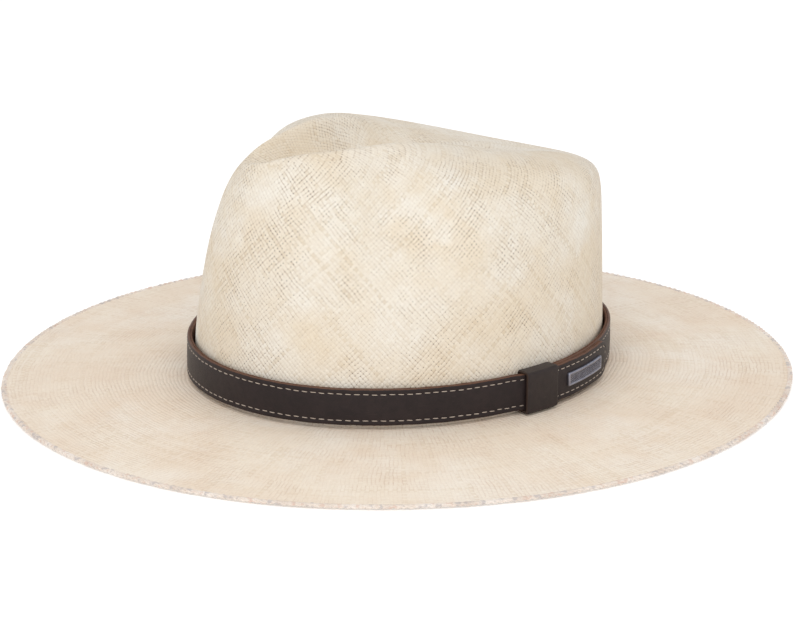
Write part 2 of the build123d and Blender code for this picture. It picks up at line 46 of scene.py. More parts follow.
# crest line: angle from the front, distance from the middle, drop below the highest point
CREST = [(-157, 66, 29.8), (-128, 48, 20.6), (-90, 34, 8.7), (-65, 35.5, 5.2), (-43, 43, 3.4), (-36, 49, 4.4),
         (-30, 57, 6.4), (-25, 67, 9.4), (-20, 78, 14.5), (-10, 85, 11.5), (0, 84, 6.9), (8, 76, 2.6),
         (17, 66, 0.6), (43, 42, 0.4), (66, 36, 2.4), (90, 34, 5.6), (128, 48, 13.8), (150, 62, 21),
         (180, 76, 30.4)]
# floor of the dent: distance behind the middle, drop below the highest point
FLOOR = [(-83, 9.5), (-74, 15.5), (-64, 22), (-50, 30.0), (-30, 34.0), (-10, 33.6), (10, 31), (30, 27.6),
         (50, 25.8), (76, 30.4)]
DENT_P, CORE = 2.2, 45.0
# wall: height fractions, angles from the front, and per angle how far in it has come at each height
WH = [0.17, 0.35, 0.52, 0.66, 0.77, 0.86, 0.93, 0.98]
WA = [0, 22, 43, 66, 90, 135, 180]
WALLS = [[0.0, 0.04, 0.12, 0.24, 0.38, 0.54, 0.71, 0.88], [0.0, 0.04, 0.12, 0.23, 0.37, 0.52, 0.69, 0.87],
         [0.0, 0.065, 0.185, 0.33, 0.49, 0.645, 0.79, 0.91], [0.0, 0.03, 0.07, 0.15, 0.24, 0.37, 0.54, 0.79],
         [0.0, 0.015, 0.04, 0.08, 0.14, 0.24, 0.40, 0.66], [0.0, 0.015, 0.03, 0.04, 0.055, 0.08, 0.15, 0.50],
         [0.0, 0.01, 0.025, 0.04, 0.06, 0.09, 0.17, 0.50]]
STEPS = [0.0, 0.12, 0.25, 0.38, 0.52, 0.66, 0.79, 0.90]
RS = ((A - RE) ** 2 + B ** 2 - RE ** 2) / (2 * (B - RE))
CE, CS = A - RE, RS - B
PSI0 = math.atan2(CS, CE)
EDGE_TOP = PLAIT_H / 2 + STRAW / 2
FOOT = EDGE_TOP + DROP
CREST_TOP = FOOT + HEIGHT
K_BACK, K_FRONT, K_WALL, K_LEN = 0.9, 1.5, 1.1, 20.0
S_IN, S_BACKING, S_FACE, S_H = 1.3, 1.1, 1.3, 17.6
S_BOTTOM = FOOT + 2.0
S_MID = S_BOTTOM + S_H / 2
S_SEAM, S_OUT = S_IN + S_BACKING, S_IN + S_BACKING + S_FACE
LAP = S_OUT - S_IN + 0.1
RAMP0, RAMP1, TIP = -6.0, 1.5, 32.0
K_ANG = 2.6                                    # keeper's middle, degrees from the side towards the rear
INNER_END = 2.2                                # the strap's hidden inner end
TONGUE_CORNER = 7.2
STITCH_INSET = 2.4                             # thread line to the strap's edge
THREAD_R, THREAD_DIP = 0.22, 0.18
PLATE_L, PLATE_H, PLATE_CORNER, PLATE_ANG = 32.0, 6.6, 0.9, 19.3


def smooth_curve(xs, ys, period=None):
    x, y = np.array(xs, float), np.array(ys, float)
    if period:
        x, y = np.append(x, x[0] + period), np.append(y, y[0])
    n = len(x)
    h = np.diff(x)
    d = np.diff(y) / h
    m, r = np.zeros((n, n)), np.zeros(n)
    for i in range(1, n - 1):
        m[i, i - 1:i + 2] = [h[i - 1], 2 * (h[i - 1] + h[i]), h[i]]
        r[i] = 6 * (d[i] - d[i - 1])
    if period:
        m[0, 0], m[0, 1], m[0, n - 2] = 2 * (h[0] + h[-1]), h[0], h[-1]
        r[0] = 6 * (d[0] - d[-1])
        m[n - 1, 0], m[n - 1, n - 1] = 1, -1
    else:
        m[0, 0] = m[n - 1, n - 1] = 1
    c = np.linalg.solve(m, r)

    def f(t):
        t = np.asarray(t, float)
        if period:
            t = np.mod(t - x[0], period) + x[0]
        k = np.clip(np.searchsorted(x, t, side="right") - 1, 0, n - 2)
        a, b, w = x[k + 1] - t, t - x[k], h[k]
        return (c[k] * a ** 3 / (6 * w) + c[k + 1] * b ** 3 / (6 * w) + (y[k] / w - c[k] * w / 6) * a
                + (y[k + 1] / w - c[k + 1] * w / 6) * b)
    return f


def oval(psi, off=0.0):
    q = np.abs(np.mod(psi + math.pi, 2 * math.pi) - math.pi)
    sx = np.sign(np.sin(psi))
    end = (q <= PSI0) | (q >= math.pi - PSI0)
    cx = np.where(end, 0.0, -sx * CS)
    cy = np.where(end, np.where(q < math.pi / 2, -CE, CE), 0.0)
    r = np.where(end, RE, RS) + off
    return cx + np.sin(psi) * r, cy - np.cos(psi) * r


PT = np.linspace(0, math.pi, 3601)
_fx, _fy = oval(PT)
TT = np.arctan2(_fx, -_fy)
CA = np.radians([c[0] for c in CREST])
crest_r = smooth_curve(CA, [c[1] for c in CREST], 2 * math.pi)
crest_d = smooth_curve(CA, [c[2] for c in CREST], 2 * math.pi)
floor_d = smooth_curve([c[0] for c in FLOOR], [c[1] for c in FLOOR])
MA = [-a for a in WA[-2:0:-1]] + WA
walls = [smooth_curve(np.radians(MA), list(r[-2:0:-1]) + list(r), 2 * math.pi) for r in zip(*WALLS)]
HT = np.linspace(0, math.pi, 721)
CT = {s: (-np.cos(HT) * crest_r(s * HT), np.sin(HT) * crest_r(s * HT), crest_d(s * HT)) for s in (1, -1)}


def dent_height(x, y):
    fl = floor_d(np.clip(y, FLOOR[0][0], FLOOR[-1][0]))
    w = np.where(x >= 0, np.interp(y, CT[1][0], CT[1][1]), np.interp(y, CT[-1][0], CT[-1][1]))
    rim = np.where(x >= 0, np.interp(y, CT[1][0], CT[1][2]), np.interp(y, CT[-1][0], CT[-1][2]))
    g = np.clip(np.abs(x) / np.maximum(w, 0.001), 0, 1)
    return CREST_TOP - fl + (fl - rim) * g ** DENT_P


def brim_z(out):
    return FOOT - DROP * (out / BRIM) ** CURL


def straw_lines(ang):
    t = np.mod(ang + math.pi, 2 * math.pi) - math.pi
    psi = np.sign(t) * np.interp(np.abs(t), TT, PT)
    foot = np.hypot(*oval(psi))
    R, Z = crest_r(ang), CREST_TOP - crest_d(ang)
    dx, dy = np.sin(ang), -np.cos(ang)
    L = []
    for s in STEPS:
        r = s * (CORE * (1 - s) + R * s)
        L.append((dx * r, dy * r, dent_height(dx * r, dy * r)))
    L.append((dx * R, dy * R, Z))
    for s, c in reversed(list(zip(WH, walls))):
        r = foot - (foot - R) * c(ang)
        L.append((dx * r, dy * r, FOOT + (Z - FOOT) * s))
    one = np.ones_like(ang)
    for o, u in ((0.0, 5.0), (0.0, 2.0), (0.0, 1.0), (0.1, 0.25)):
        x, y = oval(psi, o)
        L.append((x, y, (FOOT + u) * one))
    outs = [1.0, 3.0, 8.0] + [8.0 + (BRIM - 8.0) * k / 7 for k in range(1, 8)] + [BRIM + SPARE / 2, BRIM + SPARE]
    for o in outs:
        x, y = oval(psi, o)
        L.append((x, y, brim_z(o) * one))
    return np.array([np.stack(l, -1) for l in L])


N_LINES = len(STEPS) + 1 + len(WH) + 4 + 12
SPANS = N_LINES - 1
FOOT_SPAN = len(STEPS) + 1 + len(WH) + 3      # where the profile turns into the brim
EDGE_SPAN = SPANS - 2                          # the straw's edge


def straw_grid(ang, share):
    """Outer surface of the straw at every pair of a share (0 middle, 1 spare edge) and an angle."""
    L = straw_lines(ang)
    L = np.concatenate([[2 * L[0] - L[1]], L, [2 * L[-1] - L[-2]]])
    at = np.clip(np.asarray(share) * SPANS, 0, SPANS - 1e-9)
    k = at.astype(int)
    f = (at - k)[:, None, None]
    return ((1 - f) ** 3 * L[k] + (3 * f ** 3 - 6 * f ** 2 + 4) * L[k + 1]
            + (1 + 3 * f + 3 * f ** 2 - 3 * f ** 3) * L[k + 2] + f ** 3 * L[k + 3]) / 6


def side_xy(deg, off):
    a = math.radians(deg)
    r = RS + off
    return -CS + r * math.cos(a), r * math.sin(a)


# ------------------------------------------------------------------ small helpers
def mesh_object(name, verts, faces, smooth=True):
    me = bpy.data.meshes.new(name)
    verts = np.asarray(verts, np.float32).reshape(-1, 3)
    faces = [tuple(int(i) for i in f) for f in faces]
    me.from_pydata(verts.tolist(), [], faces)
    me.update()
    if smooth:
        me.polygons.foreach_set("use_smooth", [True] * len(me.polygons))
    ob = bpy.data.objects.new(name, me)
    bpy.context.collection.objects.link(ob)
    return ob


def vertex_uv(ob, name, values):
    """UV map with one pair of values per vertex."""
    layer = ob.data.uv_layers.new(name=name)
    loops = np.empty(len(ob.data.loops), np.int32)
    ob.data.loops.foreach_get("vertex_index", loops)
    layer.data.foreach_set("uv", values[loops].astype(np.float32).ravel())


class Mat:
    """Short way to write a node material."""

    def __init__(self, name):
        self.m = bpy.data.materials.new(name)
        self.m.use_nodes = True
        self.nt = self.m.node_tree
        self.nt.nodes.clear()
        self.out = self.nt.nodes.new("ShaderNodeOutputMaterial")
        self.p = self.nt.nodes.new("ShaderNodeBsdfPrincipled")
        self.nt.links.new(self.p.outputs[0], self.out.inputs[0])

    def n(self, kind, **props):
        n = self.nt.nodes.new("ShaderNode" + kind)
        for k, v in props.items():
            setattr(n, k, v)
        return n

    def put(self, socket, value):
        if hasattr(value, "is_output") or isinstance(value, bpy.types.NodeSocket):
            self.nt.links.new(value, socket)
        else:
            socket.default_value = value

    def math(self, op, a, b=None, c=None, clamp=False):
        n = self.n("Math", operation=op, use_clamp=clamp)
        for i, v in enumerate((a, b, c)):
            if v is not None:
                self.put(n.inputs[i], v)
        return n.outputs[0]

    def mix(self, fac, a, b, blend="MIX"):
        n = self.n("Mix", data_type="RGBA", blend_type=blend)
        self.put(n.inputs["Factor"], fac)
        self.put(n.inputs["A"], a)
        self.put(n.inputs["B"], b)
        return n.outputs["Result"]

    def noise(self, vec, scale, detail=2.0, rough=0.5, dim="3D"):
        n = self.n("TexNoise", noise_dimensions=dim)
        if vec is not None:
            self.nt.links.new(vec, n.inputs["Vector"])
        n.inputs["Scale"].default_value = scale
        n.inputs["Detail"].default_value = detail
        n.inputs["Roughness"].default_value = rough
        return n

    def white(self, vec):
        n = self.n("TexWhiteNoise", noise_dimensions="2D")
        self.nt.links.new(vec, n.inputs["Vector"])
        return n

    def combine(self, x, y, z=0.0):
        n = self.n("CombineXYZ")
        for s, v in zip(n.inputs, (x, y, z)):
            self.put(s, v)
        return n.outputs[0]

    def ramp(self, fac, stops):
        n = self.n("ValToRGB")
        self.nt.links.new(fac, n.inputs[0])
        els = n.color_ramp.elements
        while len(els) < len(stops):
            els.new(0.5)
        for e, (p, c) in zip(els, stops):
            e.position = p
            e.color = c if len(c) == 4 else (*c, 1)
        return n.outputs[0]

    def range(self, v, a, b, c=0.0, d=1.0, clamp=True, smooth=False):
        n = self.n("MapRange", clamp=clamp, interpolation_type="SMOOTHSTEP" if smooth else "LINEAR")
        self.put(n.inputs["Value"], v)
        for k, w in zip(("From Min", "From Max", "To Min", "To Max"), (a, b, c, d)):
            n.inputs[k].default_value = w
        return n.outputs[0]

    def bump(self, height, strength, distance, normal=None):
        n = self.n("Bump")
        self.put(n.inputs["Height"], height)
        n.inputs["Strength"].default_value = strength
        n.inputs["Distance"].default_value = distance
        if normal is not None:
            self.nt.links.new(normal, n.inputs["Normal"])
        return n.outputs[0]


def lin(r, g, b):
    f = lambda c: (c / 255 / 12.92) if c / 255 <= 0.04045 else ((c / 255 + 0.055) / 1.055) ** 2.4
    return (f(r), f(g), f(b), 1.0)


# ------------------------------------------------------------------ straw material
# the fibre streaks and the painted shade in the gaps between strands share one colour; the pinholes get a painted shade
# colour of their own
def straw_material(name, base, warm, pale, streak_and_gap_shade, hole_shade, gap_shade_amount, hole_shade_amount, tone_amount, tint_scale):
    M = Mat(name)
    uv = M.n("UVMap", uv_map="weave").outputs[0]
    sep = M.n("SeparateXYZ")
    M.nt.links.new(uv, sep.inputs[0])
    obj = M.n("TexCoord").outputs["Object"]
    wide = M.noise(obj, 22.0, 2.0)
    fine = M.noise(obj, 170.0, 2.0)
    wsep, fsep = M.n("SeparateColor"), M.n("SeparateColor")
    M.nt.links.new(wide.outputs["Color"], wsep.inputs[0])
    M.nt.links.new(fine.outputs["Color"], fsep.inputs[0])
    p = M.math("MULTIPLY_ADD", wsep.outputs[0], 2.6, sep.outputs[0])
    p = M.math("MULTIPLY_ADD", fsep.outputs[0], 0.8, p)
    q = M.math("MULTIPLY_ADD", wsep.outputs[1], 2.6, sep.outputs[1])
    q = M.math("MULTIPLY_ADD", fsep.outputs[1], 0.8, q)
    fp, fq = M.math("FRACT", p), M.math("FRACT", q)
    i, j = M.math("FLOOR", p), M.math("FLOOR", q)
    par = M.math("MULTIPLY_ADD", M.math("PINGPONG", M.math("ADD", i, j), 1.0), -2.0, 1.0)
    sin_p = M.math("SINE", M.math("MULTIPLY", fp, math.pi))
    sin_q = M.math("SINE", M.math("MULTIPLY", fq, math.pi))
    ac_p = M.math("POWER", sin_p, 0.6)
    ac_q = M.math("POWER", sin_q, 0.6)
    ha = M.math("MULTIPLY_ADD", ac_p, 0.6, M.math("MULTIPLY", M.math("MULTIPLY", par, sin_q), 0.4))
    hb = M.math("SUBTRACT", M.math("MULTIPLY", ac_q, 0.6), M.math("MULTIPLY", M.math("MULTIPLY", par, sin_p), 0.4))
    h = M.math("MAXIMUM", ha, hb)
    on_a = M.math("GREATER_THAN", ha, hb)
    on_b = M.math("SUBTRACT", 1.0, on_a)
    # every strand has its own tone, and it changes where a new straw is laid in
    ra = M.white(M.combine(i, 0.37)).outputs[0]
    rb = M.white(M.combine(j, 7.91)).outputs[0]
    la = M.math("FLOOR", M.math("MULTIPLY_ADD", ra, 31.0, M.math("MULTIPLY", q, 0.03)))
    lb = M.math("FLOOR", M.math("MULTIPLY_ADD", rb, 31.0, M.math("MULTIPLY", p, 0.03)))
    ta = M.white(M.combine(i, la)).outputs[0]
    tb = M.white(M.combine(j, M.math("ADD", lb, 400.5))).outputs[0]
    tone = M.math("ADD", M.math("MULTIPLY", ta, on_a), M.math("MULTIPLY", tb, on_b))
    # fibre streaks along the strands
    sa = M.noise(M.combine(M.math("MULTIPLY", p, 4.0), M.math("MULTIPLY", q, 0.3)), 1.0, 1.0, dim="2D").outputs[0]
    sb = M.noise(M.combine(M.math("MULTIPLY", p, 0.3), M.math("MULTIPLY", q, 4.0)), 1.0, 1.0, dim="2D").outputs[0]
    streak = M.math("ADD", M.math("MULTIPLY", sa, on_a), M.math("MULTIPLY", sb, on_b))
    # painted shade in the thin gaps between strands, broken into dashes, stronger in some patches and in one direction
    loose = M.range(M.noise(obj, 34.0, 3.0, 0.6).outputs[0], 0.42, 0.62)
    side_a = M.range(M.noise(obj, 27.0, 2.0).outputs[0], 0.42, 0.58)
    rise_p = M.range(sin_p, 0.0, 0.52, 1.0, 0.0)
    rise_q = M.range(sin_q, 0.0, 0.52, 1.0, 0.0)
    pair_p, pair_q = M.math("FLOOR", M.math("MULTIPLY", p, 0.5)), M.math("FLOOR", M.math("MULTIPLY", q, 0.5))
    near_p, near_q = M.math("ROUND", p), M.math("ROUND", q)
    dash_p = M.range(M.white(M.combine(near_p, pair_q)).outputs[0], 0.15, 0.75)
    dash_q = M.range(M.white(M.combine(pair_p, near_q)).outputs[0], 0.15, 0.75)
    gap_shade_p = M.math("MULTIPLY", M.math("MULTIPLY", rise_p, dash_p), M.math("MULTIPLY_ADD", side_a, 0.5, 0.5))
    gap_shade_q = M.math("MULTIPLY", M.math("MULTIPLY", rise_q, dash_q), M.math("MULTIPLY_ADD", side_a, -0.5, 1.0))
    gap_shade_mask = M.math("MAXIMUM", gap_shade_p, gap_shade_q)
    gap_shade_mask = M.math("MULTIPLY", gap_shade_mask, M.math("MULTIPLY_ADD", loose, 0.75, 0.25))
    # painted shade seen through pinholes where the weave is loose
    cell = M.white(M.combine(near_p, near_q)).outputs[0]
    corner = M.math("MULTIPLY", M.range(sin_p, 0.05, 0.66, 1.0, 0.0, smooth=True),
                    M.range(sin_q, 0.05, 0.66, 1.0, 0.0, smooth=True))
    corner = M.math("MULTIPLY", corner, M.math("MULTIPLY_ADD", loose, 0.8, 0.2))
    hole_shade_mask = M.math("MULTIPLY", corner, M.range(cell, 0.20, 0.70))
    patch = M.noise(obj, tint_scale, 3.0, 0.6)
    psep = M.n("SeparateColor")
    M.nt.links.new(patch.outputs["Color"], psep.inputs[0])
    col = M.mix(M.range(psep.outputs[0], 0.38, 0.62), warm, base)
    col = M.mix(M.range(psep.outputs[1], 0.5, 0.7, 0.0, 0.8), col, pale)
    strand = M.ramp(tone, [(0.0, (0.86, 0.815, 0.745)), (0.14, (0.95, 0.93, 0.90)),
                           (0.45, (1, 1, 1)), (1.0, (1, 1, 1))])
    col = M.mix(tone_amount, col, strand, "MULTIPLY")
    col = M.mix(M.range(streak, 0.35, 0.7, 0.14, 0.0), col, streak_and_gap_shade)
    # painted shade in the gaps between strands
    col = M.mix(M.math("MULTIPLY", gap_shade_mask, gap_shade_amount), col, streak_and_gap_shade)
    # painted shade in the pinholes
    col = M.mix(M.math("MULTIPLY", hole_shade_mask, hole_shade_amount), col, hole_shade)
    M.put(M.p.inputs["Base Color"], col)
    M.put(M.p.inputs["Roughness"], M.range(streak, 0.2, 0.8, 0.50, 0.64))
    M.p.inputs["Specular IOR Level"].default_value = 0.3
    n1 = M.bump(M.math("SUBTRACT", h, M.math("MULTIPLY", gap_shade_mask, 0.4)), 0.7, 0.00035)
    n2 = M.bump(fine.outputs[0], 0.3, 0.0006, n1)
    M.nt.links.new(n2, M.p.inputs["Normal"])
    return M.m


# crown and brim straw: the fourth colour is for the fibre streaks and the painted shade in the gaps between strands,
# the fifth is the painted shade in the pinholes; both darker on the crown
crown_mat = straw_material("straw_crown", lin(237, 229, 215), lin(233, 220, 199), lin(243, 239, 230),
                           lin(180, 154, 128), lin(92, 72, 60), 0.72, 1.0, 0.70, 26.0)
brim_mat = straw_material("straw_brim", lin(245, 233, 216), lin(240, 223, 203), lin(249, 241, 229),
                          lin(214, 184, 160), lin(180, 146, 124), 0.60, 0.30, 0.55, 20.0)

# ------------------------------------------------------------------ straw: crown and brim, woven in one
CELL = 1.8                   # strand to strand
NA = 400


def straw_rows(per_span, dense):
    rows = []
    for s in range(0, EDGE_SPAN):
        if s < FOOT_SPAN - 3:
            n = per_span
        elif s < FOOT_SPAN + 3:
            n = dense
        else:
            n = per_span
        rows += [(s + k / n) / SPANS for k in range(n)]
    return np.array(rows + [EDGE_SPAN / SPANS, (EDGE_SPAN + 0.06) / SPANS])


def build_straw(depth, per_span, dense):
    """Points, faces, material numbers and weave coordinates of the straw's face at a depth below the outer one."""
    ang = np.linspace(-math.pi, math.pi, NA, endpoint=False)
    share = straw_rows(per_span, dense)
    P = straw_grid(ang, share)
    eps = 2e-4
    dth = straw_grid(ang + eps, share) - straw_grid(ang - eps, share)
    ds = straw_grid(ang, np.clip(share + eps, 0, 1)) - straw_grid(ang, np.clip(share - eps, 0, 1))
    nrm = np.cross(ds, dth)
    nrm /= np.maximum(np.linalg.norm(nrm, axis=-1, keepdims=True), 1e-12)
    nrm[0] = (0, 0, 1)
    if depth:
        P = P - depth * nrm
    # weave coordinates
    step_r = np.linalg.norm(np.roll(P, -1, 1) - P, axis=-1)
    circ = step_r.sum(1)
    frac = np.concatenate([np.zeros((len(share), 1)), np.cumsum(step_r, 1)], 1) / np.maximum(circ, 1e-9)[:, None]
    step_s = np.linalg.norm(np.diff(P, axis=0), axis=-1)
    acc = np.concatenate([np.zeros((1, NA)), np.cumsum(step_s, 0)], 0)
    foot_row = int(np.argmin(np.abs(share - (FOOT_SPAN - 0.5) / SPANS)))
    acc = acc - acc[foot_row]
    acc = np.concatenate([acc, acc[:, :1]], 1)
    faces, mats, uvs = [], [], []
    nr = len(share)
    verts = P[1:].reshape(-1, 3)
    verts = np.concatenate([P[0].mean(0)[None], verts])
    idx = lambda r, c: 0 if r == 0 else 1 + (r - 1) * NA + c % NA
    count = {}
    wide = CELL * math.sqrt(2)
    n = 2 * round(circ[foot_row] / wide / 2)
    for r in range(foot_row - 1, -1, -1):
        if circ[r] < 0.80 * n * wide:
            n = max(4, 2 * round(circ[r] / wide / 2))
        count[r] = n
    m = 2 * round(circ[foot_row] / CELL / 2)
    for r in range(foot_row, nr - 1):
        if circ[r + 1] > 1.14 * m * CELL:
            m = 2 * round(circ[r + 1] / CELL / 2)
        count[r] = m
    for r in range(nr - 1):
        crown = r < foot_row
        k = count[r]
        for c in range(NA):
            if r == 0:
                corners = [(0, c), (1, c), (1, c + 1)]
            else:
                corners = [(r, c), (r + 1, c), (r + 1, c + 1), (r, c + 1)]
            if depth:
                corners = corners[::-1]
            faces.append([idx(a, b) for a, b in corners])
            mats.append(0 if crown else 1)
            for a, b in corners:
                u = k * frac[max(a, 1), b]
                v = -acc[a, b]
                if crown:
                    v /= wide
                    uvs.append((u + v, u - v))
                else:
                    uvs.append((u, v / CELL))
    return verts, faces, mats, uvs


def straw_object(name, depth, per_span, dense):
    verts, faces, mats, uvs = build_straw(depth, per_span, dense)
    ob = mesh_object(name, verts * MM, faces)
    ob.data.polygons.foreach_set("material_index", mats)
    layer = ob.data.uv_layers.new(name="weave")
    layer.data.foreach_set("uv", np.array(uvs, np.float32).ravel())
    ob.data.materials.append(crown_mat)
    ob.data.materials.append(brim_mat)
    return ob


straw_out = straw_object("straw_outside", 0.0, 5, 8)
straw_in = straw_object("straw_inside", STRAW, 3, 4)
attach(straw_out, "hat")
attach(straw_in, "hat")
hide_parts("straw_body")

# ------------------------------------------------------------------ plaited edge of the brim
def plait():
    psi = np.linspace(0, 2 * math.pi, 4001)
    x, y = oval(psi, BRIM + 1.3)
    seg = np.hypot(np.diff(x), np.diff(y))
    cum = np.concatenate([[0], np.cumsum(seg)])
    per = cum[-1]
    cycles = int(round(per / 9.6))
    steps = cycles * 12
    s = np.arange(steps) / steps * per
    a = np.interp(s, cum, psi)
    verts, faces = [], []
    sides = 7
    rng = np.random.default_rng(5)
    for k in range(3):
        ph = 2 * math.pi * (s / per * cycles + k / 3)
        lat = BRIM + 1.12 + 0.78 * np.sin(ph)
        hgt = 1.28 + 0.42 * np.sin(2 * ph + 0.3)
        wob = 1 + 0.10 * np.interp(s, np.linspace(0, per, 300), rng.standard_normal(300))
        px, py = oval(a, lat)
        tx, ty = np.roll(px, -1) - np.roll(px, 1), np.roll(py, -1) - np.roll(py, 1)
        tz = np.roll(hgt, -1) - np.roll(hgt, 1)
        T = np.stack([tx, ty, tz], 1)
        T /= np.linalg.norm(T, axis=1, keepdims=True)
        Nn = np.stack([np.sin(a), -np.cos(a), 0 * a], 1)
        Bn = np.cross(T, Nn)
        Bn /= np.linalg.norm(Bn, axis=1, keepdims=True)
        Nn = np.cross(Bn, T)
        base = len(verts)
        C = np.stack([px, py, hgt], 1)
        for q in range(sides):
            t = 2 * math.pi * q / sides
            r1, r2 = 0.80 * wob, 0.58 * wob
            verts.append(C + Nn * (np.cos(t) * r1)[:, None] + Bn * (np.sin(t) * r2)[:, None])
        for q in range(sides):
            for i in range(steps):
                faces.append(((base + q) * steps + i, (base + (q + 1) % sides) * steps + i,
                              (base + (q + 1) % sides) * steps + (i + 1) % steps,
                              (base + q) * steps + (i + 1) % steps))
    # a plain core fills the plait and closes the straw's cut edge
    base = len(verts)
    px, py = oval(a, BRIM + 0.95)
    for q in range(sides):
        t = 2 * math.pi * q / sides
        verts.append(np.stack([px + np.sin(a) * 1.1 * math.cos(t), py - np.cos(a) * 1.1 * math.cos(t),
                               1.3 + 0.85 * math.sin(t) + 0 * a], 1))
    for q in range(sides):
        for i in range(steps):
            faces.append(((base + (q + 1) % sides) * steps + i, (base + q) * steps + i,
                          (base + q) * steps + (i + 1) % steps, (base + (q + 1) % sides) * steps + (i + 1) % steps))
    # vertex id = row * steps + i
    V = np.concatenate(verts)
    return V, faces


def plait_material():
    M = Mat("straw_edge")
    obj = M.n("TexCoord").outputs["Object"]
    big = M.noise(obj, 60.0, 3.0)
    fib = M.noise(obj, 1800.0, 2.0)
    tones = [(0.3, lin(222, 208, 196)), (0.5, lin(238, 226, 214)), (0.7, lin(246, 238, 230))]
    col = M.ramp(big.outputs[0], tones)
    dash = M.noise(obj, 300.0, 1.0)
    col = M.mix(M.range(fib.outputs[0], 0.35, 0.65, 0.3, 0.0), col, lin(206, 184, 166))
    col = M.mix(M.range(dash.outputs[0], 0.56, 0.66, 0.0, 0.55), col, lin(176, 170, 172))
    col = M.mix(M.range(dash.outputs[0], 0.42, 0.34, 0.0, 0.45), col, lin(214, 176, 158))
    M.put(M.p.inputs["Base Color"], col)
    M.p.inputs["Roughness"].default_value = 0.55
    M.p.inputs["Specular IOR Level"].default_value = 0.35
    M.nt.links.new(M.bump(fib.outputs[0], 0.5, 0.0002), M.p.inputs["Normal"])
    return M.m


V, F = plait()
edge = mesh_object("brim_plait", V * MM, F)
edge.data.materials.append(plait_material())
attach(edge, "hat")
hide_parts("brim_edge_plait")


# ------------------------------------------------------------------ leather
def leather_material(name, base, light, dark, grain=1.0, rough=0.5, scuff=0.25, edge_col=None):
    M = Mat(name)
    obj = M.n("TexCoord").outputs["Object"]
    v = M.n("TexVoronoi", feature="DISTANCE_TO_EDGE")
    M.nt.links.new(obj, v.inputs["Vector"])
    v.inputs["Scale"].default_value = 1500.0 * grain
    pore = M.noise(obj, 2600.0 * grain, 2.0)
    mid = M.noise(obj, 260.0, 4.0, 0.6)
    big = M.noise(obj, 45.0, 3.0, 0.6)
    col = M.mix(M.range(big.outputs[0], 0.35, 0.7), base, light)
    col = M.mix(M.range(mid.outputs[0], 0.42, 0.75, 0.0, 0.6), col, dark)
    col = M.mix(M.range(v.outputs["Distance"], 0.0, 0.05, 0.5, 0.0), col, dark)
    if scuff:
        sc = M.n("Mapping")
        M.nt.links.new(obj, sc.inputs[0])
        sc.inputs["Scale"].default_value = (1.0, 1.0, 5.0)
        s = M.noise(sc.outputs[0], 190.0, 5.0, 0.7)
        col = M.mix(M.range(s.outputs[0], 0.60, 0.74, 0.0, scuff), col, lin(78, 66, 62))
    if edge_col is not None:
        # the cut edges show the undyed leather
        uv = M.n("UVMap", uv_map="edge").outputs[0]
        sep = M.n("SeparateXYZ")
        M.nt.links.new(uv, sep.inputs[0])
        e = M.math("ADD", sep.outputs[0], M.math("MULTIPLY_ADD", M.noise(obj, 700.0, 2.0).outputs[0], 0.5, -0.25))
        col = M.mix(M.range(e, 0.45, 0.75, smooth=True), col, edge_col)
    M.put(M.p.inputs["Base Color"], col)
    M.put(M.p.inputs["Roughness"], M.range(pore.outputs[0], 0.3, 0.7, rough - 0.07, rough + 0.08))
    M.p.inputs["Specular IOR Level"].default_value = 0.3
    n1 = M.bump(v.outputs["Distance"], 0.35, 0.00012)
    n2 = M.bump(pore.outputs[0], 0.25, 0.00008, n1)
    n3 = M.bump(mid.outputs[0], 0.35, 0.0004, n2)
    M.nt.links.new(n3, M.p.inputs["Normal"])
    return M.m


strap_mat = leather_material("strap_leather", lin(38, 28, 29), lin(45, 34, 34), lin(24, 18, 19),
                             1.0, 0.50, 0.22, lin(98, 66, 50))
backing_mat = leather_material("strap_backing", lin(96, 64, 48), lin(116, 80, 60), lin(68, 44, 33), 0.8, 0.75, 0.0)
keeper_mat = leather_material("keeper_leather", lin(41, 32, 31), lin(50, 40, 38), lin(30, 23, 23),
                              1.0, 0.46, 0.28, lin(58, 44, 38))
sweat_mat = leather_material("sweatband_leather", lin(122, 82, 54), lin(140, 98, 66), lin(92, 60, 40), 0.7, 0.45, 0.0)


def thread_material(name, base, dark):
    M = Mat(name)
    obj = M.n("TexCoord").outputs["Object"]
    w = M.n("TexWave", wave_type="BANDS", bands_direction="DIAGONAL")
    M.nt.links.new(obj, w.inputs["Vector"])
    w.inputs["Scale"].default_value = 900.0
    w.inputs["Distortion"].default_value = 2.0
    col = M.mix(M.range(w.outputs["Fac"], 0.2, 0.8), dark, base)
    n = M.noise(obj, 120.0, 2.0)
    col = M.mix(M.range(n.outputs[0], 0.35, 0.65, 0.25, 0.0), col, dark)
    M.put(M.p.inputs["Base Color"], col)
    M.p.inputs["Roughness"].default_value = 0.7
    M.nt.links.new(M.bump(w.outputs["Fac"], 0.5, 0.0001), M.p.inputs["Normal"])
    return M.m


thread_mat = thread_material("cream_thread", lin(216, 202, 188), lin(160, 144, 130))


# ------------------------------------------------------------------ strap: path from the tongue's tip to the inner end
def rise_at(deg):
    t = np.clip((deg - RAMP0) / (RAMP1 - RAMP0), 0, 1)
    return t ** 3 * (10 - 15 * t + 6 * t ** 2)


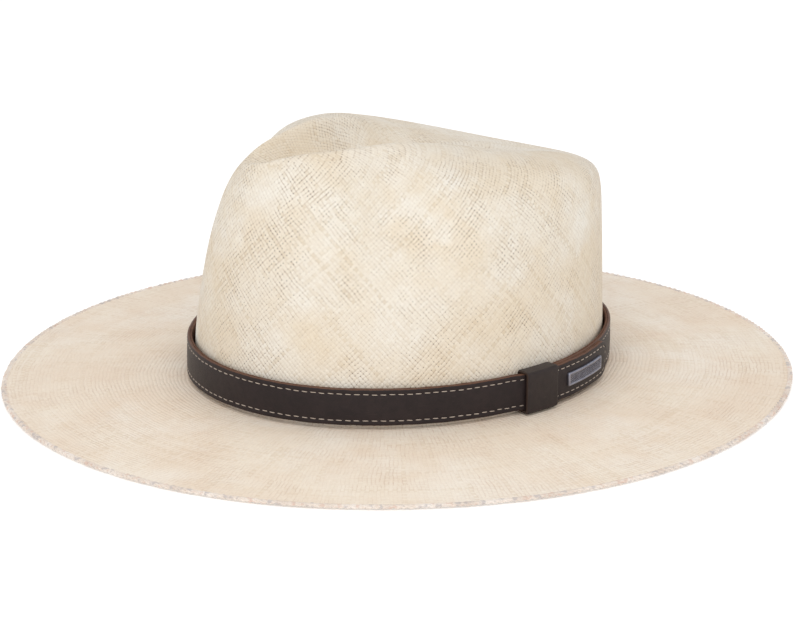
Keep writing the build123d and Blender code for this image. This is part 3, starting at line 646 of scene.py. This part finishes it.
def strap_path(step=1.1):
    """Stations along the strap: base point, normal, extra offset, angle on the left arc (nan elsewhere), run."""
    side_half = math.pi / 2 - PSI0
    pts = []
    n = max(2, int(math.radians(TIP + math.degrees(side_half)) * RS / step))
    for a in np.linspace(math.radians(TIP), -side_half, n, endpoint=False):
        pts.append((-CS, 0.0, RS, a, LAP * float(rise_at(math.degrees(a))), math.degrees(a)))
    for cx, cy, r, a0, a1 in ((0, -CE, RE, -side_half, -side_half - 2 * PSI0),
                              (CS, 0, RS, -side_half - 2 * PSI0, -side_half - 2 * PSI0 - 2 * side_half),
                              (0, CE, RE, -math.pi - side_half, -math.pi - side_half - 2 * PSI0)):
        n = int(abs(a1 - a0) * r / step)
        for a in np.linspace(a0, a1, n, endpoint=False):
            pts.append((cx, cy, r, a, 0.0, float("nan")))
    a0, a1 = side_half - 2 * math.pi, math.radians(INNER_END) - 2 * math.pi
    n = int(abs(a1 - a0) * RS / step)
    for a in np.linspace(a0, a1, n):
        pts.append((-CS, 0.0, RS, a, 0.0, float("nan")))
    pts = np.array(pts)
    base = np.stack([pts[:, 0] + pts[:, 2] * np.cos(pts[:, 3]), pts[:, 1] + pts[:, 2] * np.sin(pts[:, 3])], 1)
    nrm = np.stack([np.cos(pts[:, 3]), np.sin(pts[:, 3])], 1)
    mid = base + nrm * (pts[:, 4] + S_OUT)[:, None]
    run = np.concatenate([[0], np.cumsum(np.linalg.norm(np.diff(mid, axis=0), axis=1))])
    return base, nrm, pts[:, 4], pts[:, 5], run


BASE, NRM, EXTRA, ADEG, RUN = strap_path()


def half_height(run, inset=0.0):
    """Half height of the strap at a distance from the tongue's tip: the tip's corners are rounded."""
    c = TONGUE_CORNER - inset
    d = np.maximum(run - inset, 0.0)
    h = S_H / 2 - inset
    k = np.clip(1 - d / c, 0, 1)
    return np.where(d >= c, h, h - c + c * np.sqrt(np.maximum(1 - k ** 2, 0)))


def strap_mesh(name, lo, hi, dome, mat, node_name, groove, seed):
    """A leather layer: rounded cut edges, a slightly domed face and a stitch groove along each edge."""
    rng = np.random.default_rng(seed)
    n = len(RUN)
    half = half_height(RUN)
    keep = np.maximum(half, 0.35)
    wave = np.interp(RUN, np.linspace(0, RUN[-1], 160), rng.standard_normal(160)) * 0.06
    V, E = [], []
    dist = [0.0, 0.0, 0.08, 0.22, 0.45, 0.9, 1.6, 2.05, 2.4, 2.75, 3.2, 4.6, 6.4]
    offs = [lo + 0.25, hi - 0.55, hi - 0.28, hi - 0.10, hi - 0.02, hi + 0.01, hi + 0.02,
            hi - 0.05, hi - 0.13, hi - 0.05, hi + 0.02, hi + 0.03, hi + 0.03 + dome]
    mark = [1.0, 1.0, 0.9, 0.62, 0.35, 0.12, 0, 0, 0, 0, 0, 0, 0]
    if not groove:
        offs = [lo + 0.25, hi - 0.35, hi - 0.15, hi - 0.05] + [hi - 0.01] * 9
    ring = []
    for s in (-1, 1):
        order = range(len(dist)) if s < 0 else range(len(dist) - 1, -1, -1)
        for k in order:
            ring.append((s, dist[k], offs[k], mark[k]))
    ring.append((1, 0.25, lo, 0.6))
    ring.append((1, 3.0, lo, 0.0))
    ring.append((-1, 3.0, lo, 0.0))
    ring.append((-1, 0.25, lo, 0.6))
    m = len(ring)
    for s, d, o, e in ring:
        dd = d * np.clip(keep / (S_H / 2), 0.05, 1)
        z = S_MID + s * (keep - dd) + s * wave * (1 - min(d / 3.0, 1))
        off = o + EXTRA
        V.append(np.stack([BASE[:, 0] + NRM[:, 0] * off, BASE[:, 1] + NRM[:, 1] * off, z], 1))
        E.append(np.full(n, e))
    V = np.stack(V, 1)                       # station, ring, 3
    E = np.stack(E, 1)
    # the tip's end face takes the cut edge's colour too
    E[0] = 1.0
    faces = []
    for i in range(n - 1):
        for k in range(m):
            faces.append((i * m + k, (i + 1) * m + k, (i + 1) * m + (k + 1) % m, i * m + (k + 1) % m))
    faces.append(tuple(range(m)))
    faces.append(tuple(range((n - 1) * m + m - 1, (n - 1) * m - 1, -1)))
    ob = mesh_object(name, V.reshape(-1, 3) * MM, faces)
    flat = E.reshape(-1)
    vertex_uv(ob, "edge", np.stack([flat, flat * 0], 1))
    ob.data.materials.append(mat)
    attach(ob, "band")
    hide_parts(node_name)


strap_mesh("strap_face_leather", S_SEAM, S_OUT, 0.05, strap_mat, "band_strap_face", True, 3)
strap_mesh("strap_backing_leather", S_IN, S_SEAM - 0.02, 0.0, backing_mat, "band_strap_backing",
           False, 4)


# ------------------------------------------------------------------ stitches
def capsule_rows(centres, dirs, outs, length, radius, dip):
    """Short thread stitches: each is a small arched capsule whose ends go down into the leather."""
    V, F = [], []
    sec, seg = 7, 6
    for c, d, o in zip(centres, dirs, outs):
        b = np.cross(d, o)
        base = len(V)
        for i in range(seg + 1):
            t = -1 + 2 * i / seg
            p = c + d * (t * length / 2) + o * (-dip * t * t)
            rr = radius * math.sqrt(max(1 - abs(t) ** 4, 0.02))
            for k in range(sec):
                a = 2 * math.pi * k / sec
                V.append(p + o * (math.cos(a) * rr * 0.8) + b * (math.sin(a) * rr))
        for i in range(seg):
            for k in range(sec):
                n = (k + 1) % sec
                F.append((base + i * sec + k, base + i * sec + n, base + (i + 1) * sec + n, base + (i + 1) * sec + k))
        F.append(tuple(base + k for k in range(sec))[::-1])
        F.append(tuple(base + seg * sec + k for k in range(sec)))
    return np.array(V), F


def on_strap(run, height, lift=0.0):
    """Point on the strap's face, its outward direction and the direction along the strap."""
    f = lambda a: np.interp(run, RUN, a)
    nx, ny = f(NRM[:, 0]), f(NRM[:, 1])
    l = math.hypot(nx, ny)
    nx, ny = nx / l, ny / l
    off = f(EXTRA) + S_OUT + lift
    at = np.array([f(BASE[:, 0]) + nx * off, f(BASE[:, 1]) + ny * off, height])
    return at, np.array([nx, ny, 0.0]), np.array([ny, -nx, 0.0])


PITCH, STITCH = 4.1, 3.1
# the rows of stitches start past the ramp and end where the strap goes under the tongue
gate0 = float(np.interp(-RAMP1, -ADEG[~np.isnan(ADEG)], RUN[~np.isnan(ADEG)]))
lap_end = RUN[-1] - float(np.radians(TIP + 1.2 - INNER_END)) * (RS + S_OUT)


def row(height, start, stop, seed):
    rng = np.random.default_rng(seed)
    C, D, O = [], [], []
    n = int((stop - start) / PITCH)
    for i in range(n):
        r = start + (i + 0.5) * (stop - start) / n
        p, o, d = on_strap(r + rng.normal() * 0.08, height + rng.normal() * 0.07, -0.03)
        d = d + np.array([0, 0, rng.normal() * 0.025 + 0.035])
        d /= np.linalg.norm(d)
        C.append(p); D.append(d); O.append(o)
    return C, D, O


for name, s, node_name in (("stitches_upper", 1, "band_upper_stitching"),
                           ("stitches_lower", -1, "band_lower_stitching")):
    C, D, O = row(S_MID + s * (S_H / 2 - STITCH_INSET), gate0 + 2.0, lap_end, 10 + s)
    V, F = capsule_rows(C, D, O, STITCH, THREAD_R, THREAD_DIP)
    ob = mesh_object(name, V * MM, F)
    ob.data.materials.append(thread_mat)
    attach(ob, "band")
    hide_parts(node_name)

# round the tongue's tip: straight along both edges and round the end
upper = [(r, float(half_height(np.array([r]), STITCH_INSET)[0])) for r in np.linspace(gate0 + 1.0, STITCH_INSET, 400)]
flat_end = [(STITCH_INSET, z) for z in np.linspace(upper[-1][1], -upper[-1][1], 20)][1:-1]
path2 = upper + flat_end + [(r, -h) for r, h in upper[::-1]]
path2 = np.array(path2)
cum2 = np.concatenate([[0], np.cumsum(np.hypot(np.diff(path2[:, 0]), np.diff(path2[:, 1])))])
n2 = int(cum2[-1] / PITCH)
C, D, O = [], [], []
rng = np.random.default_rng(21)
for i in range(n2):
    t = (i + 0.5) / n2 * cum2[-1]
    r0, z0 = np.interp(t, cum2, path2[:, 0]), np.interp(t, cum2, path2[:, 1])
    ra, za = np.interp(t + 0.3, cum2, path2[:, 0]), np.interp(t + 0.3, cum2, path2[:, 1])
    p, o, d = on_strap(r0, S_MID + z0, -0.03)
    pa, _, _ = on_strap(ra, S_MID + za, -0.03)
    dd = pa - p
    dd /= np.linalg.norm(dd)
    C.append(p); D.append(dd); O.append(o)
V, F = capsule_rows(C, D, O, STITCH, THREAD_R, THREAD_DIP)
ob = mesh_object("stitches_tongue", V * MM, F)
ob.data.materials.append(thread_mat)
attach(ob, "band")
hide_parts("tongue_stitching")


# ------------------------------------------------------------------ keeper loop
def keeper():
    k_in, k_out = 0.2, S_OUT + LAP + 0.45 + K_FRONT
    o_in, o_out = k_in + K_BACK, k_out - K_FRONT
    z0, z1 = S_BOTTOM - 0.25 - K_WALL, S_BOTTOM + S_H + 0.25 + K_WALL
    h0, h1 = z0 + K_WALL, z1 - K_WALL
    half = math.degrees(K_LEN / 2 / (RS + k_out))

    def loop(x0, x1, y0, y1, r, n=5):
        pts = []
        for cx, cy, a0 in ((x1 - r, y0 + r, -90), (x1 - r, y1 - r, 0), (x0 + r, y1 - r, 90), (x0 + r, y0 + r, 180)):
            for t in np.linspace(0, 90, n):
                a = math.radians(a0 + t)
                pts.append((cx + r * math.cos(a), cy + r * math.sin(a)))
        return pts

    outer = loop(k_in, k_out, z0, z1, 1.3)
    inner = loop(o_in, o_out, h0, h1, 0.35)
    # more points along the sides of the loop's cross-section, most along the long sides
    def dense(pts):
        res = []
        for a, b in zip(pts, pts[1:] + pts[:1]):
            n = max(1, int(math.hypot(b[0] - a[0], b[1] - a[1]) / 2.0))
            for i in range(n):
                t = i / n
                res.append((a[0] + (b[0] - a[0]) * t, a[1] + (b[1] - a[1]) * t))
        return res
    outer, inner = dense(outer), dense(inner)
    m, mi = len(outer), len(inner)
    steps = [0.0, 0.03, 0.10, 0.22, 0.5] + list(np.linspace(1.5, K_LEN - 1.5, 16))
    steps += [K_LEN - 0.5, K_LEN - 0.22, K_LEN - 0.10, K_LEN - 0.03, K_LEN]
    shrink = [0.42, 0.30, 0.16, 0.05, 0.0] + [0.0] * 16 + [0.0, 0.05, 0.16, 0.30, 0.42]
    V, F, E = [], [], []

    def ringpts(pts, s, off, sign):
        a = K_ANG - half + 2 * half * s / K_LEN
        for o, z in pts:
            dx = np.clip((o - (k_in + k_out) / 2) / ((k_out - k_in) / 2), -1, 1)
            dz = np.clip((z - S_MID) / ((z1 - z0) / 2), -1, 1)
            oo = o - sign * off * dx
            zz = z - sign * off * dz
            x, y = side_xy(a, oo)
            V.append((x, y, zz))
    for s, c in zip(steps, shrink):
        ringpts(outer, s, c, 1)
        E += [1.0 if c > 0.25 else (0.75 if c > 0.1 else (0.4 if c > 0 else 0.05))] * m
    b_in = len(V)
    for s, c in zip(steps, shrink):
        ringpts(inner, s, c * 0.4, -1)
        E += [0.8] * mi
    n = len(steps)
    for i in range(n - 1):
        for k in range(m):
            F.append((i * m + k, (i + 1) * m + k, (i + 1) * m + (k + 1) % m, i * m + (k + 1) % m)[::-1])
        for k in range(mi):
            F.append((b_in + i * mi + k, b_in + (i + 1) * mi + k,
                      b_in + (i + 1) * mi + (k + 1) % mi, b_in + i * mi + (k + 1) % mi))
    ob = mesh_object("keeper_leather_loop", np.array(V) * MM, F)
    bm = bmesh.new()
    bm.from_mesh(ob.data)
    bm.verts.ensure_lookup_table()
    for start, i in ((0, 0), ((n - 1) * m, n - 1)):
        o_edges = [bm.edges.get((bm.verts[start + k], bm.verts[start + (k + 1) % m])) for k in range(m)]
        bi = b_in + i * mi
        i_edges = [bm.edges.get((bm.verts[bi + k], bm.verts[bi + (k + 1) % mi])) for k in range(mi)]
        bmesh.ops.bridge_loops(bm, edges=o_edges + i_edges)
    bmesh.ops.recalc_face_normals(bm, faces=bm.faces)
    for f in bm.faces:
        f.smooth = True
    bm.to_mesh(ob.data)
    bm.free()
    flat = np.array(E)
    vertex_uv(ob, "edge", np.stack([flat, flat * 0], 1))
    ob.data.materials.append(keeper_mat)
    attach(ob, "keeper")
    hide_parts("keeper_loop")


keeper()


# ------------------------------------------------------------------ metal plate on the tongue
def metal_material():
    M = Mat("plaque_metal")
    obj = M.n("TexCoord").outputs["Object"]
    uv = M.n("UVMap", uv_map="plate").outputs[0]
    sep = M.n("SeparateXYZ")
    M.nt.links.new(uv, sep.inputs[0])
    u, v = sep.outputs[0], sep.outputs[1]
    # rows of small lozenges on a darker ground, inside a plain rim
    a = M.math("PINGPONG", M.math("ADD", u, v), 0.55)
    b = M.math("PINGPONG", M.math("SUBTRACT", u, v), 0.55)
    loz = M.math("MINIMUM", a, b)
    inside = M.math("MULTIPLY", M.math("LESS_THAN", M.math("ABSOLUTE", u), 14.6),
                    M.math("LESS_THAN", M.math("ABSOLUTE", v), 2.2))
    raised = M.range(loz, 0.13, 0.22, smooth=True)
    ground = M.math("MULTIPLY", inside, M.math("SUBTRACT", 1.0, raised))
    n = M.noise(obj, 350.0, 4.0)
    silver = M.mix(M.range(n.outputs[0], 0.3, 0.7), lin(128, 130, 146), lin(158, 160, 174))
    col = M.mix(ground, silver, lin(52, 54, 70))
    M.put(M.p.inputs["Base Color"], col)
    M.p.inputs["Metallic"].default_value = 1.0
    M.put(M.p.inputs["Roughness"], M.range(n.outputs[0], 0.3, 0.7, 0.24, 0.40))
    h = M.math("SUBTRACT", 1.0, ground)
    M.nt.links.new(M.bump(h, 0.8, 0.00025), M.p.inputs["Normal"])
    return M.m


def plate():
    """Metal plate with rounded corners, a raised rim and a face sunk a little inside it."""
    base_off = S_OUT + LAP
    V, F, rows = [], [], []
    rings = ((0.0, 0.02), (0.0, 0.75), (0.10, 1.0), (0.32, 1.15), (0.75, 1.2), (0.95, 1.08), (1.15, 1.02))
    for inset, lift in rings:
        ring = []
        hl, hh = PLATE_L / 2 - inset, PLATE_H / 2 - inset
        c = max(PLATE_CORNER - inset, 0.15)
        for cx, cy, a0 in ((hl - c, -hh + c, -90), (hl - c, hh - c, 0), (-hl + c, hh - c, 90), (-hl + c, -hh + c, 180)):
            for t in np.linspace(0, 90, 5):
                a = math.radians(a0 + t)
                ring.append((cx + c * math.cos(a), cy + c * math.sin(a), lift))
        full = []
        for k, (p, q) in enumerate(zip(ring, ring[1:] + ring[:1])):
            if not V:
                rows.append(max(1, int(round(math.hypot(q[0] - p[0], q[1] - p[1]) / 1.5))))
            n = rows[k]
            for i in range(n):
                t = i / n
                full.append((p[0] + (q[0] - p[0]) * t, p[1] + (q[1] - p[1]) * t, lift))
        V.append(full)
    m = len(V[0])
    flat = [p for r in V for p in r]
    for k in range(len(V) - 1):
        for i in range(m):
            F.append((k * m + i, k * m + (i + 1) % m, (k + 1) * m + (i + 1) % m, (k + 1) * m + i))
    F.append(tuple(range((len(V) - 1) * m, len(V) * m)))
    P = []
    for u, v, l in flat:
        dome = 0.10 * (1 - (v / (PLATE_H / 2)) ** 2)
        x, y = side_xy(PLATE_ANG + math.degrees(u / (RS + base_off)),
                       base_off + l + (dome if l > 0.5 else 0) - 0.05)
        P.append((x, y, S_MID + v))
    ob = mesh_object("plate_metal", np.array(P) * MM, F, smooth=True)
    vertex_uv(ob, "plate", np.array(flat)[:, :2])
    ob.data.materials.append(metal_material())
    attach(ob, "band")
    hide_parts("plaque")


plate()


# ------------------------------------------------------------------ inside: CAD pieces with their own materials
def give(node_name, mat):
    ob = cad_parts[node_name]
    ob.data.materials.clear()
    ob.data.materials.append(mat)


def ribbon_material(name, base, dark):
    M = Mat(name)
    obj = M.n("TexCoord").outputs["Object"]
    w = M.n("TexWave", wave_type="BANDS", bands_direction="Z")
    M.nt.links.new(obj, w.inputs["Vector"])
    w.inputs["Scale"].default_value = 520.0
    n = M.noise(obj, 90.0, 3.0)
    col = M.mix(M.range(w.outputs["Fac"], 0.2, 0.8), dark, base)
    col = M.mix(M.range(n.outputs[0], 0.4, 0.7, 0.0, 0.3), col, dark)
    M.put(M.p.inputs["Base Color"], col)
    M.p.inputs["Roughness"].default_value = 0.42
    M.p.inputs["Sheen Weight"].default_value = 0.3
    M.nt.links.new(M.bump(w.outputs["Fac"], 0.4, 0.0001), M.p.inputs["Normal"])
    return M.m


give("sweatband", sweat_mat)
give("sweatband_stitching", thread_mat)
ribbon = ribbon_material("ribbon", lin(62, 50, 46), lin(34, 27, 25))
give("sweatband_bow_loops", ribbon)
give("sweatband_bow_knot", ribbon)
give("reed_tape", ribbon_material("tape", lin(88, 70, 58), lin(58, 44, 36)))
give("sweatband_reed", ribbon_material("reed", lin(214, 208, 196), lin(196, 188, 174)))
give("size_tag", ribbon_material("tag", lin(238, 234, 224), lin(214, 208, 196)))
give("plaque_prongs", bpy.data.materials["plaque_metal"])

# ------------------------------------------------------------------ floor, light, camera
def floor_piece():
    n, R = 64, 6.0
    V = [(0, 0, 0)] + [(R * math.cos(2 * math.pi * i / n), R * math.sin(2 * math.pi * i / n), 0) for i in range(n)]
    F = [(0, 1 + i, 1 + (i + 1) % n) for i in range(n)]
    ob = mesh_object("studio_floor", np.array(V) - np.array([0, 0, 0.0003]), F, smooth=False)
    M = Mat("floor_white")
    M.p.inputs["Base Color"].default_value = (0.93, 0.93, 0.93, 1)
    M.p.inputs["Emission Color"].default_value = (1, 1, 1, 1)
    M.p.inputs["Emission Strength"].default_value = 0.25
    M.p.inputs["Roughness"].default_value = 0.9
    M.p.inputs["Specular IOR Level"].default_value = 0.1
    ob.data.materials.append(M.m)


floor_piece()
scene = bpy.context.scene
scene.view_settings.view_transform = "Standard"
scene.view_settings.look = "None"
world = bpy.data.worlds.new("studio")
world.use_nodes = True
world.node_tree.nodes["Background"].inputs[0].default_value = (1.0, 1.0, 1.0, 1)
world.node_tree.nodes["Background"].inputs[1].default_value = 0.76
scene.world = world


def area(name, loc, target, size, power, color=(1, 1, 1)):
    d = bpy.data.lights.new(name, "AREA")
    d.shape = "DISK"
    d.size = size
    d.energy = power
    d.color = color
    o = bpy.data.objects.new(name, d)
    bpy.context.collection.objects.link(o)
    o.location = loc
    o.rotation_euler = (Vector(target) - Vector(loc)).to_track_quat("-Z", "Y").to_euler()


AZ, EL, DIST, ROLL = math.radians(49.0), math.radians(18.2), 2.933, math.radians(-0.75)
right = Vector((math.cos(AZ), math.sin(AZ), 0))
back = Vector((math.sin(AZ) * math.cos(EL), -math.cos(AZ) * math.cos(EL), math.sin(EL)))
target = Vector((0, 0, (19.5 + S_BOTTOM) * MM))
area("key", back * 1.75 + Vector((0, 0, 0.9)) - right * 0.1, (0, 0, 0.06), 1.8, 13)
area("top", Vector((0, 0, 1.9)) + back * 0.3, (0, 0, 0.1), 1.6, 3)

cam_data = bpy.data.cameras.new("camera")
cam = bpy.data.objects.new("camera", cam_data)
bpy.context.collection.objects.link(cam)
cam_data.sensor_width = 36.0
cam_data.lens = 6147.0 / 800 * 36.0
cam_data.clip_end = 50
cam.location = target + back * DIST
quat = (-back).to_track_quat("-Z", "Y")
cam.rotation_mode = "QUATERNION"
cam.rotation_quaternion = quat @ Quaternion((0, 0, 1), -ROLL)
scene.camera = cam
